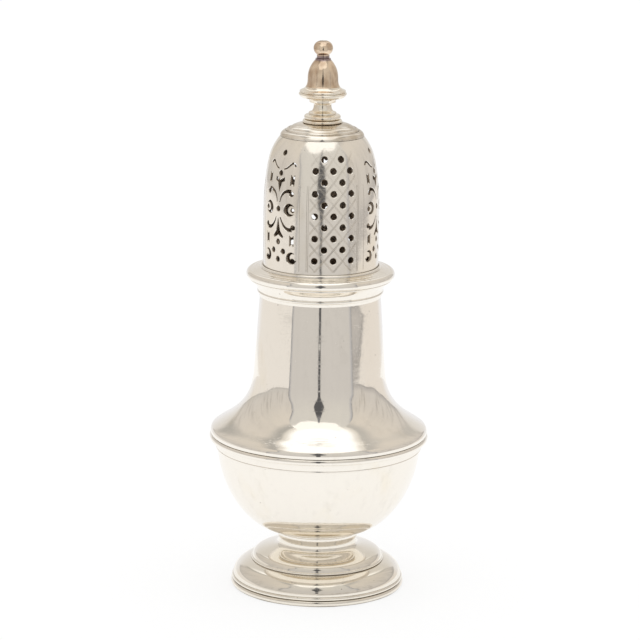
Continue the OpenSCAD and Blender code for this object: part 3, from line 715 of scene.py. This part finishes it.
def trellis_paths(middle, lean):
    """Double lines that lean one way across a lattice panel, between its sprinkle holes."""
    low = SEAM_Z + LATTICE_START_H - LATTICE_PITCH
    high = SEAM_Z + LATTICE_START_H + LATTICE_ROWS * LATTICE_PITCH
    half = BORDER_ANGLES[0] - TRELLIS_MARGIN
    slope = lean * LATTICE_PITCH / LATTICE_STEP
    paths = []
    for bar in range(-SPARE_BARS, LATTICE_ROWS // 2 + SPARE_BARS + 1):
        for offset in (-LINE_GAP / 2, LINE_GAP / 2):
            start_z = low + 2 * bar * LATTICE_PITCH + offset
            ends = sorted(((low - start_z) / slope, (high - start_z) / slope))
            left = max(-half, ends[0])
            right = min(half, ends[1])
            if right - left > LATTICE_STEP / 2:
                angles = [left + (right - left) * k / LINE_POINTS for k in range(LINE_POINTS + 1)]
                paths.append([(middle + angle, start_z + slope * angle) for angle in angles])
    return paths


def border_paths(middle, angles, top_h):
    """Upright lines at these angles on both sides of a panel's middle."""
    low = SEAM_Z + LATTICE_START_H - LATTICE_PITCH
    levels = [low + (SEAM_Z + top_h - low) * k / LINE_POINTS for k in range(LINE_POINTS + 1)]
    return [[(middle + side * angle, z) for z in levels] for angle in angles for side in (-1, 1)]


def pierced_dome():
    """The dome's wall, sawn through in its panels and engraved."""
    dome = dome_outline()
    turn_outline(dome, DOME_STEPS)
    take_away(dome, saw_cutter())
    upright = []
    leaning = {-1: [], 1: []}
    for pair in range(PANEL_PAIRS):
        lattice = COVER_TURN + pair * PAIR_ANGLE
        upright += border_paths(lattice, BORDER_ANGLES, BORDER_TOP_H)
        upright += border_paths(lattice + PAIR_ANGLE / 2, (FOLIATE_BORDER,), BORDER_TOP_H)
        for lean, paths in leaning.items():
            paths += trellis_paths(lattice, lean)
    for paths in (upright, *leaning.values()):
        take_away(dome, engraved_lines(paths))
    pick(dome)
    bpy.ops.object.shade_smooth_by_angle(angle=SMOOTH_ANGLE)
    dress(dome, "cover", "pierced_dome", worked)
    dull_inside(dome, lambda face: dome_depth(face.center) > INSIDE_DEPTH)


pierced_dome()


# Studio: pale floor, tent walls, white roof, camera

def studio_floor():
    """A wide pale floor that looks white and keeps a soft shadow."""
    bpy.ops.object.select_all(action="DESELECT")
    bpy.ops.mesh.primitive_plane_add(size=FLOOR_SIZE, location=(0, 0, 0))
    floor = bpy.context.object
    floor.name = "studio_floor"
    material = bpy.data.materials.new("pale_floor")
    recipe = Recipe(material)
    seen = recipe.add("ShaderNodeLightPath", output="Is Camera Ray")
    seen = seen.largest(recipe.add("ShaderNodeLightPath", output="Is Glossy Ray"))
    seen = seen.largest(recipe.add("ShaderNodeLightPath", output="Is Transmission Ray"))
    matt = recipe.add("ShaderNodeBsdfDiffuse", {}, {"Color": FLOOR_COLOUR})
    glow = recipe.add("ShaderNodeEmission", {}, {"Color": FLOOR_GLOW, "Strength": 1.0})
    white = recipe.add("ShaderNodeMixShader", {}, {0: FLOOR_GLOW_SHARE, 1: matt, 2: glow})
    recipe.finish(recipe.add("ShaderNodeMixShader", {}, {0: seen, 1: matt, 2: white}))
    floor.data.materials.append(material)


def stage_wall(name, radius, height, material):
    """A round wall about the caster that only the polished metal sees."""
    bpy.ops.object.select_all(action="DESELECT")
    bpy.ops.mesh.primitive_cylinder_add(vertices=WALL_SIDES, radius=radius, depth=height,
                                        end_fill_type="NOTHING", location=(0, 0, height / 2))
    wall = bpy.context.object
    wall.name = name
    bpy.ops.object.transform_apply(location=True, rotation=True, scale=True)
    wall.visible_camera = False
    wall.visible_diffuse = False
    wall.visible_shadow = False
    wall.data.materials.append(material)


def wall_angles(recipe, radius):
    """Azimuth round the caster, 0 in front and positive right, and lift over its shoulder, in degrees."""
    x, y, z = (recipe.along(axis) for axis in "XYZ")
    slope = (z - SHOULDER_Z) / (radius - SHOULDER_R)
    return x.math("ARCTAN2", x, -y) * DEGREE, slope.math("ARCTANGENT", slope) * DEGREE


def tent_cloth():
    """The tent's side and back cloth: bright low down, with a large dim sheet on either side.

    Azimuths and lifts are in degrees, here and on the front sheet.
    """
    material = bpy.data.materials.new("tent_cloth")
    recipe = Recipe(material)
    azimuth, lift = wall_angles(recipe, TENT_R)
    aside = abs(azimuth)
    folds = recipe.noise(9, 3.0, stretch=(1, 1, 0.15)).step(0.35, 0.7)
    creases = recipe.noise(34, 2.0, stretch=(1, 1, 0.12)).step(0.48, 0.66)
    colour = recipe.mix(azimuth.step(60, 95), LEFT_CLOTH, RIGHT_CLOTH)
    back = recipe.mix(lift.step(-6, 24), BACK_LOW, BACK_HIGH)
    colour = recipe.mix(aside.step(132, 152), colour, back)

    sheet = recipe.mix(lift.step(2, 55), SHEET_LOW, SHEET_HIGH)
    sheet = recipe.mix(folds * 0.3, sheet, SHEET_FOLD)
    sheet = recipe.mix(creases * lift.step(50, 15) * 0.75, sheet, SHEET_CREASE)
    left = {
        "side": (-azimuth).step(-1, 1),
        "low": -0.8 + 5.6 * aside.step(76, 106),
        "top": 69 - 50 * aside.step(122, 156),
        "hem": rgb(0.60, 0.58, 0.555),
        "edge": rgb(0.47, 0.45, 0.43),
        "brow": rgb(0.46, 0.445, 0.42)}
    right = {
        "side": azimuth.step(-1, 1),
        "low": -5.5 + 3.3 * aside.step(68, 92) + 5 * aside.step(98, 122) + 3.7 * aside.step(122, 145),
        "top": 65.5 - 45 * aside.step(124, 156),
        "hem": rgb(0.48, 0.46, 0.45),
        "edge": rgb(0.36, 0.345, 0.34),
        "brow": rgb(0.54, 0.52, 0.49)}
    in_reach = aside.step(152, 147)
    for lobe in (left, right):
        over_hem = lift - lobe["low"]
        over_brow = lift - lobe["top"]
        shaded = recipe.mix(over_hem.step(9, 0), sheet, lobe["hem"])
        shaded = recipe.mix(over_hem.step(2.2, 0.6) * 0.7, shaded, lobe["edge"])
        shaded = recipe.mix(over_brow.step(-11, -2), shaded, lobe["brow"])
        colour = recipe.mix(lobe["side"] * in_reach * over_hem.step(-0.5, 0.5), colour, shaded)
        above = recipe.mix(over_brow.step(1, 7), CREAM_CLOTH, ROOF_WHITE)
        above = recipe.mix(aside.step(140, 155) * lift.step(72, 60), above, back)
        colour = recipe.mix(lobe["side"] * over_brow.step(-1.5, 1.5), colour, above)
    recipe.finish(recipe.add("ShaderNodeEmission", {}, {"Color": colour, "Strength": 1.0}))
    return material


def front_cloth():
    """The tent's front sheet: pale grey, seamed at both edges, with the slit for the camera."""
    material = bpy.data.materials.new("front_cloth")
    recipe = Recipe(material)
    azimuth, lift = wall_angles(recipe, FRONT_R)
    aside = abs(azimuth)
    folds = recipe.noise(28, 3.0, stretch=(1, 1, 0.15)).step(0.35, 0.7)
    colour = recipe.mix(lift.step(0, 45), FRONT_LOW, FRONT_HIGH)
    colour = recipe.mix(folds * 0.15, colour, FRONT_FOLD)
    left_edge = -49.5 + 5.5 * lift.step(10, 30) - 17 * lift.step(36, 70)
    right_edge = 57 - 3.5 * lift.step(8, 18) + 7 * lift.step(25, 58)
    from_left = azimuth - left_edge
    from_right = right_edge - azimuth
    seams = ((from_left, 4.5, 0.50), (from_left, 1.5, 0.26),
             (from_right, 6.5, 0.54), (from_right, 3.0, 0.40))
    for distance, width, grey in seams:
        seam = distance.step(width, 0.4 * width) * lift.step(62, 50)
        colour = recipe.mix(seam, colour, rgb(0.98 * grey, 0.97 * grey, grey))
    brow = 60 + 3 * azimuth.step(-20, 10) + 6 * aside.step(30, 55)
    colour = recipe.mix((lift - brow).step(-1.5, 1.5), colour, FRONT_BROW)
    colour = recipe.mix(lift.step(74, 80), colour, ROOF_WHITE)

    half_width = 1.9 + 6.4 * lift.step(12, 33) * lift.step(64, 28)
    slit = (aside - half_width).step(0.6, -0.6) * lift.step(66, 62)
    colour = recipe.mix(slit, colour, recipe.mix(lift.step(44, 56), SLIT_DARK, SLIT_DIM))
    bead_half_width, bead_half_height, bead_lift = 1.3, 0.45, 5.1
    bead = (aside / bead_half_width).largest(abs(lift - bead_lift) / bead_half_height)
    colour = recipe.mix(bead.step(1.2, 0.7), colour, BEAD_WHITE)
    cloth = recipe.add("ShaderNodeEmission", {}, {"Color": colour, "Strength": 1.0})
    clear = recipe.add("ShaderNodeBsdfTransparent")
    inside_edges = from_left.step(-0.4, 0.4) * from_right.step(-0.4, 0.4) * lift.step(-9.2, -8.4)
    recipe.finish(recipe.add("ShaderNodeMixShader", {}, {0: inside_edges, 1: clear, 2: cloth}))
    return material


def tent_roof():
    """White all over, and a little brighter where the metal mirrors it."""
    world = bpy.data.worlds.new("tent_roof")
    bpy.context.scene.world = world
    recipe = Recipe(world)
    mirrored = recipe.add("ShaderNodeLightPath", output="Is Glossy Ray")
    plain = recipe.add("ShaderNodeBackground", {}, {"Color": rgb(1, 1, 1), "Strength": 1.0})
    roof = recipe.add("ShaderNodeBackground", {}, {"Color": ROOF_WHITE, "Strength": 1.0})
    surface = recipe.add("ShaderNodeMixShader", {}, {0: mirrored, 1: plain, 2: roof})
    recipe.finish(surface, "ShaderNodeOutputWorld")


def photo_camera():
    """The camera at the photograph's viewing angle."""
    lens = bpy.data.cameras.new("photo_camera")
    lens.lens = CAMERA_LENS
    lens.sensor_width = CAMERA_SENSOR
    camera = bpy.data.objects.new("photo_camera", lens)
    bpy.context.scene.collection.objects.link(camera)
    camera.location = CAMERA_PLACE
    aim = (CAMERA_AIM - CAMERA_PLACE).to_track_quat("-Z", "Y")
    camera.rotation_euler = (aim.to_matrix() @ Matrix.Rotation(CAMERA_ROLL, 3, "Z")).to_euler()
    bpy.context.scene.camera = camera


studio_floor()
stage_wall("tent_wall", TENT_R, TENT_H, tent_cloth())
stage_wall("tent_front", FRONT_R, FRONT_H, front_cloth())
tent_roof()
photo_camera()
bpy.context.scene.view_settings.view_transform = "Standard"
